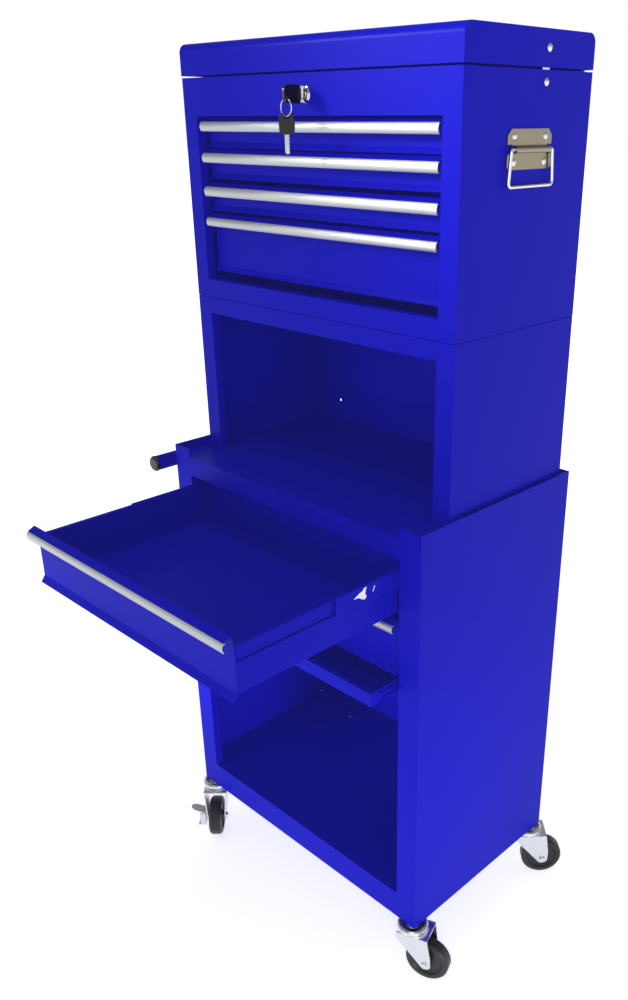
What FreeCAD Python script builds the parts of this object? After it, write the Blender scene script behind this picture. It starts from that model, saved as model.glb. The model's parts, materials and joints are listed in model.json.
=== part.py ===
"""Rolling tool cabinet: a sheet-steel base with two drawers and an open bay, an open
middle box, a top chest with four drawers and a lifting lid, and four casters.

Model axes: X to the right, Y to the back, Z up, all in millimetres. The model is laid
out from the middle of the base's front bottom edge. export() then moves everything so
that the origin is under the middle of the whole object, at floor level.
The upper base drawer is modelled pulled out, the lower one a little ajar and the sliding
tray pulled out by a hand's width, which is how the cabinet is stored.
"""
import FreeCAD, Part
import math
import os

V = FreeCAD.Vector
X_AXIS = V(1, 0, 0)
Y_AXIS = V(0, 1, 0)
Z_AXIS = V(0, 0, 1)
LEFT, RIGHT = -1, 1

# Sheet metal
SHEET = 1.0
RETURN = 12.0            # depth of the folds behind the openings

# Base cabinet
BASE_W = 448.0
BASE_D = 280.0
BASE_H = 560.0           # to the rim round the tray
TRAY_DROP = 11.5         # the tray surface lies this far below the rim
STILE = 31.5             # width of the base's front stiles
BASE_RAIL_H = 26.5       # front rail under the tray
PLINTH_H = 40.0          # height of the lower bay's floor
HEM_T = 2.5
HEM_H = 10.0
CASTER_FLANGE = 33.0     # inward fold under each side, which the casters bolt to

# Upper boxes (middle box, chest and lid share one footprint)
UPPER_HALF = 217.4
UPPER_FRONT = 53.8
UPPER_BACK = 268.6
MIDDLE_TOP = 753.6
MIDDLE_OPEN_HALF = 192.5
MIDDLE_RAIL_H = 20.6
BACK_HOLE_X = 176.0      # two small holes low in the middle box's back
BACK_HOLE_Z = 576.4
BACK_HOLE_R = 2.0
CHEST_BOTTOM = 754.2
CHEST_TOP = 1008.8
CHEST_OPEN_HALF = 193.5
CHEST_RAIL_TOP = 776.5
CHEST_OPEN_TOP = 967.0
TILL_FLOOR_Z = CHEST_OPEN_TOP + 2 * SHEET

# Lid
LID_PROUD = 0.5
LID_BOTTOM = 1010.8
LID_TOP = 1045.3
LID_ROUND = 10.0

# Lid hinge and stays
HINGE_R = 2.5
PIN_R = 1.2
PIN_CLEARANCE = 0.05
HINGE_Y = UPPER_BACK + HINGE_R + 0.3
HINGE_Z = 1009.8
HINGE_HALF = 205.0
HINGE_LEAVES = 10
LEAF_H = 14.0
LID_OPEN_DEG = 90.0
STAY_PIVOT_Y = 186.8
STAY_PIVOT_Z = 1028.6
STAY_RIVET_Z = 997.7
STAY_X = 214.2           # inner face of the stay arm
STAY_T = 1.2
STAY_W = 12.0
RIVET_R = 2.0
RIVET_HEAD_R = 4.0
STAY_SLOT_R = 2.5

# Lock and keys
LOCK_Z = 988.0
LOCK_FACE_R = 9.5
LOCK_BODY_R = 8.0
PLUG_R = 5.5
CAM_L = 24.0
KEY_HEAD_L = 24.0
KEY_HEAD_H = 18.0
KEY_HEAD_T = 3.2
KEY_STANDOFF = 5.0       # from the panel to the key's head
RING_R = 8.4
RING_WIRE_R = 0.7
RING_Y = UPPER_FRONT - KEY_STANDOFF - KEY_HEAD_L + 3.5
RING_Z = 983.4           # the hole in the key's head
SPARE_HEAD_W = 17.0
SPARE_HEAD_H = 21.0
SPARE_HEAD_T = 2.5
SPARE_BLADE_L = 19.0
SPARE_BLADE_W = 5.0
SPARE_TURN_DEG = 30.0

# Chest drawers, from the top down: rail bottom, rail top and lip tip heights
CHEST_DRAWERS = (
    (950.5, 961.5, 932.7),
    (915.6, 926.6, 897.6),
    (877.0, 888.4, 860.1),
    (841.8, 852.2, 787.2),
)
CHEST_TRAVEL = 120.0

# Base drawers, upper then lower: the same heights, and how far each is stored pulled out
BASE_DRAWERS = ((505.6, 516.7, 447.0, 240.0), (429.6, 440.7, 371.0, 8.0))
BASE_TRAVEL = 240.0

# The two kinds of drawer: depth of the pan, how far the roof-shaped edge rises over the
# rail's top, how far the side walls stay below it, the lip's reach and drop, half the
# height of the channels on the pan, and how far their middle is below the rail's top
CHEST_KIND = {"depth": 190.0, "rise": 3.0, "side_drop": 4.0, "lip_out": 4.0, "lip_drop": 4.7,
              "channel_half": 4.4, "channel_drop": 13.0}
BASE_KIND = {"depth": 252.0, "rise": 3.3, "side_drop": 8.0, "lip_out": 5.5, "lip_drop": 6.5,
             "channel_half": 9.5, "channel_drop": 17.5}

# What all the drawers share
FACE_HALF = 188.8
PAN_HALF = 187.0
FACE_RECESS = 14.5       # the face lies this far behind the front of its rail
RAIL_T = 1.3
CHANNEL_OUT = 3.1        # the channels' reach from the pan

# Sliding tray under the base drawers
TRAY_Z0, TRAY_Z1 = 347.0, 365.0
TRAY_HALF = 188.0
TRAY_FRONT = 8.0         # its front when it is pushed in
TRAY_DEPTH = 250.0
TRAY_STORED_OUT = 49.0
TRAY_TRAVEL = 180.0

# Slides: the fixed runners, and the middle channels of the base drawers' slides
SLIDE_TRAVEL_SHARE = 0.5
SLIDE_T = 0.8
SLIDE_GAP = 0.3
SMALL_RUNNER_PLAY = 0.4  # above and below the channel in a runner without a middle channel
MIDDLE_CHANNEL_Y0 = 24.0
MIDDLE_CHANNEL_Y1 = 268.0
RUNNER_INSET = 8.0       # from the chest's front to its runners

# Carrying handles on the chest's sides
PLATE_Y = 161.5
PLATE_Z = 936.0
PLATE_W = 75.0
PLATE_H = 38.0
PLATE_T = 1.2
BARREL_R = 3.6
BAIL_WIRE_R = 1.8
BAIL_CLEARANCE = 0.08
BAIL_OUT = 4.4           # bail axis, from the chest's side
BAIL_TOP_HALF = 34.8
BAIL_BOTTOM_HALF = 38.0
BAIL_BOTTOM_Z = 901.0
BAIL_OPEN_DEG = 90.0

# Push handle on the base's left side
TUBE_R = 10.25
TUBE_WALL = 1.5
TUBE_X = -252.0
TUBE_Z = 529.0
TUBE_Y0 = -15.5
TUBE_Y1 = 281.0
CAP_L = 5.0
BRACKET_T = 3.0
BRACKET_INSET = 16.0

# Casters
CASTER_H = 88.0
CASTER_X = 212.0
CASTER_Y = (11.0, 268.0)
WHEEL_R = 30.0
WHEEL_W = 18.5
TRAIL = 23.0
AXLE_Z = WHEEL_R - CASTER_H
AXLE_R = 3.0
FORK_HALF = 18.0
FORK_T = 2.0
CROWN_Z = -14.5
CROWN_T = 2.5
CROWN_END = TRAIL + 3.5
BOWL_R = 21.0
DOME_R = 11.0
FORK_LEAN_DEG = 4.2
LEVER_Y = 17.0
LEVER_T = 1.5
LEVER_HALF = 8.0
PADDLE_OUT = 22.0        # reach of the brake lever's paddle, from the lever's plate
# Each caster's trailing direction, in degrees from +X, and the side of its brake lever
CASTERS = {
    "front_right": (RIGHT, 0, 20.0, 0),
    "rear_right": (RIGHT, 1, 46.0, 0),
    "front_left": (LEFT, 0, -45.0, -1),
    "rear_left": (LEFT, 1, 75.0, 1),
}

NODES = {}


def box(x0, x1, y0, y1, z0, z1):
    """A box between two corners, given in any order."""
    low = V(min(x0, x1), min(y0, y1), min(z0, z1))
    return Part.makeBox(abs(x1 - x0), abs(y1 - y0), abs(z1 - z0), low)


def rod(radius, start, end):
    """A round bar from start to end."""
    way = end - start
    return Part.makeCylinder(radius, way.Length, start, way)


def fuse(shapes):
    """One solid from several that meet or overlap."""
    joined = shapes[0].fuse(shapes[1:]) if len(shapes) > 1 else shapes[0]
    return joined.removeSplitter()


def group(shapes):
    """Separate solids that share one node."""
    return Part.makeCompound(shapes)


def mirrored(shape):
    """The same shape on the other side of the middle plane."""
    return shape.mirror(V(0, 0, 0), X_AXIS)


def on_side(shape, side):
    """A shape drawn for the right side, put on the given side."""
    return shape if side == RIGHT else mirrored(shape)


def prism(points, direction):
    """A closed outline of points, swept along a direction."""
    wire = Part.makePolygon(list(points) + [points[0]])
    return Part.Face(wire).extrude(direction)


def outline_x(points, x0, x1):
    """A closed outline of (y, z) points, swept from x0 to x1."""
    return prism([V(x0, y, z) for y, z in points], V(x1 - x0, 0, 0))


def outline_y(points, y0, y1):
    """A closed outline of (x, z) points, swept from y0 to y1."""
    return prism([V(x, y0, z) for x, z in points], V(0, y1 - y0, 0))


def strip(path, thickness, x0, x1):
    """Bent sheet: an open (y, z) path thickened to its left and swept from x0 to x1."""
    normals = []
    for (ya, za), (yb, zb) in zip(path, path[1:]):
        length = math.hypot(yb - ya, zb - za)
        normals.append((-(zb - za) / length, (yb - ya) / length))
    inner = []
    for i, (y, z) in enumerate(path):
        before = normals[max(i - 1, 0)]
        after = normals[min(i, len(normals) - 1)]
        share = thickness / (1.0 + before[0] * after[0] + before[1] * after[1])
        inner.append((y + share * (before[0] + after[0]), z + share * (before[1] + after[1])))
    return outline_x(list(path) + inner[::-1], x0, x1)


def bent_rod(points, bends, radius):
    """Wire through the points, with an arc of the given radius at each inner point."""
    edges = []
    last = points[0]
    for before, corner, after, bend in zip(points, points[1:], points[2:], bends):
        back = (before - corner).normalize()
        ahead = (after - corner).normalize()
        half = back.getAngle(ahead) / 2
        reach = bend / math.tan(half)
        middle = (back + ahead).normalize() * (bend / math.sin(half) - bend)
        edges.append(Part.makeLine(last, corner + back * reach))
        arc = Part.Arc(corner + back * reach, corner + middle, corner + ahead * reach)
        edges.append(arc.toShape())
        last = corner + ahead * reach
    edges.append(Part.makeLine(last, points[-1]))
    path = Part.Wire(edges)
    profile = Part.Wire(Part.makeCircle(radius, points[0], points[1] - points[0]))
    return path.makePipeShell([profile], True, False)


def rivet(start, out, shank):
    """A rivet with a low domed head: it stands on start, its shank goes back by shank."""
    head = Part.makeSphere(RIVET_HEAD_R * 1.4, start - out * RIVET_HEAD_R * 0.98, out)
    head = head.common(Part.makeCylinder(RIVET_HEAD_R, RIVET_HEAD_R, start, out))
    return fuse([head, Part.makeCylinder(RIVET_R, shank, start - out * shank, out)])


# Base cabinet

def base_side(side):
    """Side panel folded into a front stile, a rim hem and a flange for the casters."""
    outer = BASE_W / 2
    inner = outer - SHEET
    stile_x = outer - STILE
    parts = [
        box(inner, outer, 0, BASE_D, 0, BASE_H),
        box(stile_x, inner, 0, SHEET, 0, BASE_H),
        box(stile_x, stile_x + SHEET, SHEET, RETURN, PLINTH_H, opening_top()),
        box(inner - HEM_T + SHEET, inner, SHEET, BASE_D - SHEET, BASE_H - HEM_H, BASE_H),
        box(outer - CASTER_FLANGE, inner, SHEET, BASE_D - SHEET, 0, SHEET),
    ]
    panel = fuse(parts)
    for y in CASTER_Y:
        panel = panel.cut(rod(4.0, V(CASTER_X, y, -1), V(CASTER_X, y, 2)))
    return on_side(panel, side)


def opening_top():
    """Underside of the front rail below the tray."""
    return BASE_H - TRAY_DROP - BASE_RAIL_H


def base_back():
    inner = BASE_W / 2 - SHEET
    flange_half = BASE_W / 2 - CASTER_FLANGE
    return fuse([
        box(-inner, inner, BASE_D - SHEET, BASE_D, 0, BASE_H),
        box(-flange_half, flange_half, BASE_D - RETURN, BASE_D - SHEET, 0, SHEET),
    ])


def base_top_tray():
    """Tray sheet, with the front rail folded down from it between the stiles."""
    inner = BASE_W / 2 - SHEET
    open_half = BASE_W / 2 - STILE
    top = BASE_H - TRAY_DROP
    return fuse([
        box(-inner, inner, SHEET, BASE_D - SHEET, top - SHEET, top),
        box(-open_half, open_half, 0, SHEET, opening_top(), top),
        box(-open_half, open_half, SHEET, RETURN, opening_top(), opening_top() + SHEET),
    ])


def base_floor():
    """Floor of the lower bay, with the plinth folded down in front."""
    inner = BASE_W / 2 - SHEET
    open_half = BASE_W / 2 - STILE
    flange_half = BASE_W / 2 - CASTER_FLANGE
    return fuse([
        box(-inner, inner, SHEET, BASE_D - SHEET, PLINTH_H - SHEET, PLINTH_H),
        box(-open_half, open_half, 0, SHEET, 0, PLINTH_H),
        box(-flange_half, flange_half, SHEET, RETURN, 0, SHEET),
    ])


# Middle box

def middle_side(side):
    inner = UPPER_HALF - SHEET
    bottom = BASE_H - TRAY_DROP
    rail_bottom = MIDDLE_TOP - MIDDLE_RAIL_H
    panel = fuse([
        box(inner, UPPER_HALF, UPPER_FRONT, UPPER_BACK, bottom, MIDDLE_TOP),
        box(MIDDLE_OPEN_HALF, inner, UPPER_FRONT, UPPER_FRONT + SHEET, bottom, MIDDLE_TOP),
        box(MIDDLE_OPEN_HALF, MIDDLE_OPEN_HALF + SHEET,
            UPPER_FRONT + SHEET, UPPER_FRONT + RETURN, bottom, rail_bottom),
    ])
    return on_side(panel, side)


def middle_back():
    inner = UPPER_HALF - SHEET
    panel = box(-inner, inner, UPPER_BACK - SHEET, UPPER_BACK, BASE_H - TRAY_DROP, MIDDLE_TOP)
    for side in (LEFT, RIGHT):
        x = side * BACK_HOLE_X
        panel = panel.cut(rod(BACK_HOLE_R, V(x, UPPER_BACK - 2, BACK_HOLE_Z),
                              V(x, UPPER_BACK + 1, BACK_HOLE_Z)))
    return panel


def middle_top():
    inner = UPPER_HALF - SHEET
    rail_bottom = MIDDLE_TOP - MIDDLE_RAIL_H
    front = UPPER_FRONT + SHEET
    return fuse([
        box(-inner, inner, front, UPPER_BACK - SHEET, MIDDLE_TOP - SHEET, MIDDLE_TOP),
        box(-MIDDLE_OPEN_HALF, MIDDLE_OPEN_HALF, UPPER_FRONT, front, rail_bottom, MIDDLE_TOP),
        box(-MIDDLE_OPEN_HALF, MIDDLE_OPEN_HALF, front, UPPER_FRONT + RETURN,
            rail_bottom, rail_bottom + SHEET),
    ])


# Chest

def chest_side(side):
    """Side panel and stile, with the holes for the stay rivet and the handle rivets."""
    inner = UPPER_HALF - SHEET
    front = UPPER_FRONT + SHEET
    panel = fuse([
        box(inner, UPPER_HALF, UPPER_FRONT, UPPER_BACK, CHEST_BOTTOM, CHEST_TOP),
        box(CHEST_OPEN_HALF, inner, UPPER_FRONT, front, CHEST_BOTTOM, CHEST_OPEN_TOP),
        box(CHEST_OPEN_HALF, CHEST_OPEN_HALF + SHEET, front, UPPER_FRONT + RETURN,
            CHEST_RAIL_TOP, CHEST_OPEN_TOP),
    ])
    holes = [(stay_rivet_y(), STAY_RIVET_Z)] + plate_holes()
    for y, z in holes:
        panel = panel.cut(rod(RIVET_R, V(inner - 1, y, z), V(UPPER_HALF + 1, y, z)))
    return on_side(panel, side)


def chest_back():
    inner = UPPER_HALF - SHEET
    return box(-inner, inner, UPPER_BACK - SHEET, UPPER_BACK, CHEST_BOTTOM, CHEST_TOP)


def chest_floor():
    inner = UPPER_HALF - SHEET
    front = UPPER_FRONT + SHEET
    return fuse([
        box(-inner, inner, front, UPPER_BACK - SHEET, CHEST_BOTTOM, CHEST_BOTTOM + SHEET),
        box(-CHEST_OPEN_HALF, CHEST_OPEN_HALF, UPPER_FRONT, front, CHEST_BOTTOM, CHEST_RAIL_TOP),
        box(-CHEST_OPEN_HALF, CHEST_OPEN_HALF, front, UPPER_FRONT + RETURN,
            CHEST_RAIL_TOP - SHEET, CHEST_RAIL_TOP),
    ])


def chest_front_panel():
    """Panel above the drawers, which carries the lock."""
    inner = UPPER_HALF - SHEET
    front = UPPER_FRONT + SHEET
    panel = fuse([
        box(-inner, inner, UPPER_FRONT, front, CHEST_OPEN_TOP, CHEST_TOP),
        box(-inner, inner, front, front + RETURN / 2, CHEST_TOP - SHEET, CHEST_TOP),
        box(-inner, inner, front, UPPER_FRONT + RETURN, CHEST_OPEN_TOP, CHEST_OPEN_TOP + SHEET),
    ])
    return panel.cut(rod(LOCK_BODY_R, V(0, UPPER_FRONT - 1, LOCK_Z), V(0, front + 1, LOCK_Z)))


def chest_till_floor():
    """Floor of the compartment under the lid, notched where the stays hang."""
    inner = UPPER_HALF - SHEET
    floor = box(-inner, inner, UPPER_FRONT + SHEET, UPPER_BACK - SHEET,
                TILL_FLOOR_Z, TILL_FLOOR_Z + SHEET)
    for side in (LEFT, RIGHT):
        floor = floor.cut(box(side * (STAY_X - 1.7), side * (inner + 1),
                              120, 205, TILL_FLOOR_Z - 1, TILL_FLOOR_Z + 2))
    return floor


# Lid, its hinge and stays

def lid_shell():
    """Lid sheet rounded along its front and back edges, with flat ends and a latch strap."""
    front = UPPER_FRONT - LID_PROUD
    half = UPPER_HALF + LID_PROUD
    outer = lid_block(front, UPPER_BACK, LID_TOP, half, LID_ROUND)
    inner = lid_block(front + SHEET, UPPER_BACK - SHEET, LID_TOP - SHEET,
                      half - SHEET, LID_ROUND - SHEET)
    shell = outer.cut(inner)
    for side in (LEFT, RIGHT):
        start = V(side * (half - SHEET - 1), STAY_PIVOT_Y, STAY_PIVOT_Z)
        end = V(side * (half + 1), STAY_PIVOT_Y, STAY_PIVOT_Z)
        shell = shell.cut(rod(RIVET_R + PIN_CLEARANCE, start, end))
    strap_x = CAM_L + 6
    strap_y0 = UPPER_FRONT + 18
    strap_y1 = UPPER_FRONT + 28
    ledge_z = LOCK_Z - 9
    strap = fuse([
        box(strap_x, strap_x + SHEET, strap_y0, strap_y1, ledge_z, LID_TOP - SHEET),
        box(strap_x - 20, strap_x, strap_y0, strap_y1, ledge_z, ledge_z + SHEET),
        box(strap_x + SHEET, strap_x + 15, strap_y0, strap_y1,
            LID_TOP - 2 * SHEET, LID_TOP - SHEET),
    ])
    return fuse([shell, strap])


def lid_block(y0, y1, top, half, rounding):
    """Solid block of the lid's section, open at the bottom edge height."""
    drop = rounding * (1 - math.sqrt(0.5))
    points = [V(-half, y0, LID_BOTTOM), V(-half, y0, top - rounding),
              V(-half, y0 + rounding, top), V(-half, y1 - rounding, top),
              V(-half, y1, top - rounding), V(-half, y1, LID_BOTTOM)]
    edges = [
        Part.makeLine(points[0], points[1]),
        Part.Arc(points[1], V(-half, y0 + drop, top - drop), points[2]).toShape(),
        Part.makeLine(points[2], points[3]),
        Part.Arc(points[3], V(-half, y1 - drop, top - drop), points[4]).toShape(),
        Part.makeLine(points[4], points[5]),
        Part.makeLine(points[5], points[0]),
    ]
    return Part.Face(Part.Wire(edges)).extrude(V(2 * half, 0, 0))


def hinge_leaf(z0, z1, first):
    """One leaf of the long lid hinge, with every second knuckle on it."""
    pitch = 2 * HINGE_HALF / HINGE_LEAVES
    face = UPPER_BACK
    parts = [box(-HINGE_HALF, HINGE_HALF, face, face + SHEET, z0, z1)]
    near_z = z0 if z0 > HINGE_Z else z1
    for i in range(first, HINGE_LEAVES, 2):
        x0 = -HINGE_HALF + i * pitch + SLIDE_GAP
        x1 = x0 + pitch - 2 * SLIDE_GAP
        parts.append(rod(HINGE_R, V(x0, HINGE_Y, HINGE_Z), V(x1, HINGE_Y, HINGE_Z)))
        parts.append(box(x0, x1, face + SLIDE_GAP, face + SLIDE_GAP + SHEET, HINGE_Z, near_z))
    leaf = fuse(parts)
    # The other leaf's knuckles turn in the gaps between these
    for i in range(1 - first, HINGE_LEAVES, 2):
        x0 = -HINGE_HALF + i * pitch
        gap = rod(HINGE_R + SLIDE_GAP, V(x0, HINGE_Y, HINGE_Z), V(x0 + pitch, HINGE_Y, HINGE_Z))
        leaf = leaf.cut(gap)
    bore = rod(PIN_R + PIN_CLEARANCE, V(-HINGE_HALF - 1, HINGE_Y, HINGE_Z),
               V(HINGE_HALF + 1, HINGE_Y, HINGE_Z))
    return leaf.cut(bore)


def hinge_pin():
    end = HINGE_HALF + 1
    return rod(PIN_R, V(-end, HINGE_Y, HINGE_Z), V(end, HINGE_Y, HINGE_Z))


def stay_rivet_y():
    """The rivet in the chest's side is as far from the hinge line as the stay's pivot,
    so the slotted arm turns at exactly half the lid's rate."""
    reach = math.hypot(STAY_PIVOT_Y - HINGE_Y, STAY_PIVOT_Z - HINGE_Z)
    return HINGE_Y - math.sqrt(reach ** 2 - (STAY_RIVET_Z - HINGE_Z) ** 2)


def stay_reach(lid_deg):
    """Distance from the stay's pivot to the chest's rivet at a lid angle."""
    dy = STAY_PIVOT_Y - HINGE_Y
    dz = STAY_PIVOT_Z - HINGE_Z
    turn = math.radians(lid_deg)
    y = HINGE_Y + dy * math.cos(turn) + dz * math.sin(turn)
    z = HINGE_Z - dy * math.sin(turn) + dz * math.cos(turn)
    return math.hypot(y - stay_rivet_y(), z - STAY_RIVET_Z)


def lid_stay(side):
    """Slotted arm that hangs from the lid, with the rivet that it turns on."""
    x0 = STAY_X
    x1 = STAY_X + STAY_T
    near = stay_reach(0.0)
    far = stay_reach(LID_OPEN_DEG)
    tip = far + 3.0
    half = STAY_W / 2
    arm = fuse([
        box(x0, x1, -half, half, -tip, 0),
        rod(half, V(x0, 0, 0), V(x1, 0, 0)),
        rod(half, V(x0, 0, -tip), V(x1, 0, -tip)),
    ])
    slot_start = near - 1.0
    slot_end = far + 0.6
    slot = fuse([
        box(x0 - 1, x1 + 1, -STAY_SLOT_R, STAY_SLOT_R, -slot_end, -slot_start),
        rod(STAY_SLOT_R, V(x0 - 1, 0, -slot_start), V(x1 + 1, 0, -slot_start)),
        rod(STAY_SLOT_R, V(x0 - 1, 0, -slot_end), V(x1 + 1, 0, -slot_end)),
    ])
    outside = UPPER_HALF + LID_PROUD + 0.1
    pin = rivet(V(outside, 0, 0), X_AXIS, outside - x0)
    arm = fuse([arm.cut(slot), pin])
    lean = math.degrees(math.atan2(stay_rivet_y() - STAY_PIVOT_Y, STAY_PIVOT_Z - STAY_RIVET_Z))
    arm.rotate(V(0, 0, 0), X_AXIS, lean)
    arm.translate(V(0, STAY_PIVOT_Y, STAY_PIVOT_Z))
    return on_side(arm, side)


def body_rivets():
    """The stay rivets and the carrying handles' rivets, all through the chest's sides."""
    rivets = []
    for side in (LEFT, RIGHT):
        out = V(side, 0, 0)
        inside = STAY_X - SLIDE_GAP
        start = V(side * UPPER_HALF, stay_rivet_y(), STAY_RIVET_Z)
        stay = rivet(start, out, UPPER_HALF - inside)
        tail = rod(RIVET_HEAD_R, V(side * inside, start.y, start.z),
                   V(side * (inside - SHEET), start.y, start.z))
        rivets.append(fuse([stay, tail]))
        for y, z in plate_holes():
            start = V(side * (UPPER_HALF + PLATE_T), y, z)
            rivets.append(rivet(start, out, PLATE_T + SHEET))
    return group(rivets)


# Lock and keys

def lock_housing():
    """Lock body with its bezel, and the hexagon nut behind the panel."""
    front = UPPER_FRONT
    bezel = Part.makeCone(LOCK_FACE_R - 1.5, LOCK_FACE_R, 2.4, V(0, front - 2.4, LOCK_Z), Y_AXIS)
    body = rod(LOCK_BODY_R, V(0, front, LOCK_Z), V(0, front + 20, LOCK_Z))
    bore = rod(PLUG_R + PIN_CLEARANCE, V(0, front - 4, LOCK_Z), V(0, front + 21, LOCK_Z))
    housing = fuse([bezel, body]).cut(bore)
    corners = [V(12.5 * math.cos(math.radians(a)), front + SHEET,
                 LOCK_Z + 12.5 * math.sin(math.radians(a))) for a in range(0, 360, 60)]
    nut = prism(corners, V(0, 3.5, 0))
    nut = nut.cut(rod(LOCK_BODY_R, V(0, front, LOCK_Z), V(0, front + 6, LOCK_Z)))
    return group([housing, nut])


def lock_plug():
    """Turning plug, the cam on its end and the blade of the key that is in it."""
    front = UPPER_FRONT
    end = front + 20 + SLIDE_GAP
    plug = rod(PLUG_R, V(0, front - 3.2, LOCK_Z), V(0, end + 2, LOCK_Z))
    cam = fuse([
        box(-6, 6, end, end + 2, LOCK_Z, LOCK_Z + CAM_L - 6),
        rod(6, V(0, end, LOCK_Z), V(0, end + 2, LOCK_Z)),
        rod(6, V(0, end, LOCK_Z + CAM_L - 6), V(0, end + 2, LOCK_Z + CAM_L - 6)),
    ])
    blade = box(-1, 1, front - KEY_STANDOFF - 4, front + 14, LOCK_Z - 3.8, LOCK_Z + 3.8)
    return fuse([plug, cam, blade])


def rounded_plate(width, height, thickness, corner):
    """Plate in the X-Z plane, centred, with rounded corners."""
    plate = box(-width / 2, width / 2, -thickness / 2, thickness / 2, -height / 2, height / 2)
    upright = [e for e in plate.Edges if abs(e.tangentAt(e.FirstParameter).y) > 0.9]
    return plate.makeFillet(corner, upright)


def lock_key_head():
    head = rounded_plate(KEY_HEAD_L, KEY_HEAD_H, KEY_HEAD_T, 6.0)
    head.rotate(V(0, 0, 0), Z_AXIS, 90)
    head.translate(V(0, UPPER_FRONT - KEY_STANDOFF - KEY_HEAD_L / 2, LOCK_Z))
    slot = box(-1, 1, UPPER_FRONT - KEY_STANDOFF - 4, UPPER_FRONT, LOCK_Z - 3.8, LOCK_Z + 3.8)
    hole = rod(1.9, V(-KEY_HEAD_T, RING_Y, RING_Z), V(KEY_HEAD_T, RING_Y, RING_Z))
    return head.cut(slot).cut(hole)


def key_ring():
    return Part.makeTorus(RING_R, RING_WIRE_R, V(0, RING_Y, RING_Z - RING_R), Y_AXIS)


def spare_top():
    """Height of the spare key's head: its hole hangs on the bottom of the ring."""
    return RING_Z - 2 * RING_R + 3.2


def spare_key_head():
    head = rounded_plate(SPARE_HEAD_W, SPARE_HEAD_H, SPARE_HEAD_T, 5.0)
    head.translate(V(0, 0, spare_top() - SPARE_HEAD_H / 2))
    ring_low = RING_Z - 2 * RING_R
    hole = box(-2, 2, -2, 2, ring_low - 2.4, ring_low + 2.4)
    for x in (-2, 2):
        hole = hole.fuse(rod(2.4, V(x, -2, ring_low), V(x, 2, ring_low)))
    head = head.cut(hole).cut(spare_blade_block())
    return turned_spare(head)


def spare_blade_block():
    """The blade's plain bar, which reaches 4 mm into the head."""
    top = spare_top() - SPARE_HEAD_H
    half = SPARE_BLADE_W / 2
    return box(-half, half, -1, 1, top - SPARE_BLADE_L, top + 4)


def spare_key_blade():
    """Blade with a bevelled tip and cuts along one edge."""
    blade = spare_blade_block()
    half = SPARE_BLADE_W / 2
    tip = spare_top() - SPARE_HEAD_H - SPARE_BLADE_L
    for side in (LEFT, RIGHT):
        blade = blade.cut(outline_y([(side * (half + 1), tip - 1), (side * (half + 1), tip + 3),
                                     (side * 0.4, tip - 1)], -2, 2))
    for i in range(5):
        z = tip + 4 + i * 3.1
        notch = outline_y([(half + 1, z - 1.2), (half + 1, z + 1.2), (half - 1.1, z)], -2, 2)
        blade = blade.cut(notch)
    return turned_spare(blade)


def turned_spare(shape):
    """Turned a little about its own upright line, and hung below the ring."""
    shape.rotate(V(0, 0, 0), Z_AXIS, SPARE_TURN_DEG)
    shape.translate(V(0, RING_Y, 0))
    return shape


# Drawers

def drawer_face_y(rail_front):
    return rail_front + FACE_RECESS


def drawer_pan(rail_front, rail_top, lip_z, kind):
    """Folded pan with its front: lip below, roof-shaped edge above that holds the rail,
    and a channel on each side that runs in the slides."""
    face = drawer_face_y(rail_front)
    bottom = lip_z + kind["lip_drop"]
    top = rail_top - kind["side_drop"]
    back = face + kind["depth"]
    front_path = [
        (face - FACE_RECESS + 3.0, rail_top - 0.6),
        (face - 3.5, rail_top + kind["rise"]),
        (face, rail_top - 10.0),
        (face, bottom + 1.5),
        (face - kind["lip_out"], lip_z),
    ]
    parts = [
        strip(front_path, SHEET, -FACE_HALF, FACE_HALF),
        box(-PAN_HALF, PAN_HALF, face + SHEET, back, bottom, bottom + SHEET),
        box(-PAN_HALF, PAN_HALF, back - SHEET, back, bottom, top),
    ]
    z = rail_top - kind["channel_drop"]
    for side in (LEFT, RIGHT):
        wall = side * PAN_HALF
        hem = side * (PAN_HALF - SHEET)
        parts.append(box(hem, wall, face + SHEET, back, bottom, top))
        parts.append(box(hem, hem - side * SHEET, face + SHEET, back - SHEET, top - 6, top))
        parts += pan_channel(side, face + 3, back - 2, z, kind["channel_half"])
    return fuse(parts)


def pan_channel(side, y0, y1, z, half):
    """Shallow channel on the outside of a pan: a web against it and two flanges."""
    wall = side * PAN_HALF
    web = side * (PAN_HALF + SLIDE_T)
    tip = side * (PAN_HALF + CHANNEL_OUT)
    return [
        box(wall, web, y0, y1, z - half, z + half),
        box(web, tip, y0, y1, z + half - SLIDE_T, z + half),
        box(web, tip, y0, y1, z - half, z - half + SLIDE_T),
    ]


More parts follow.
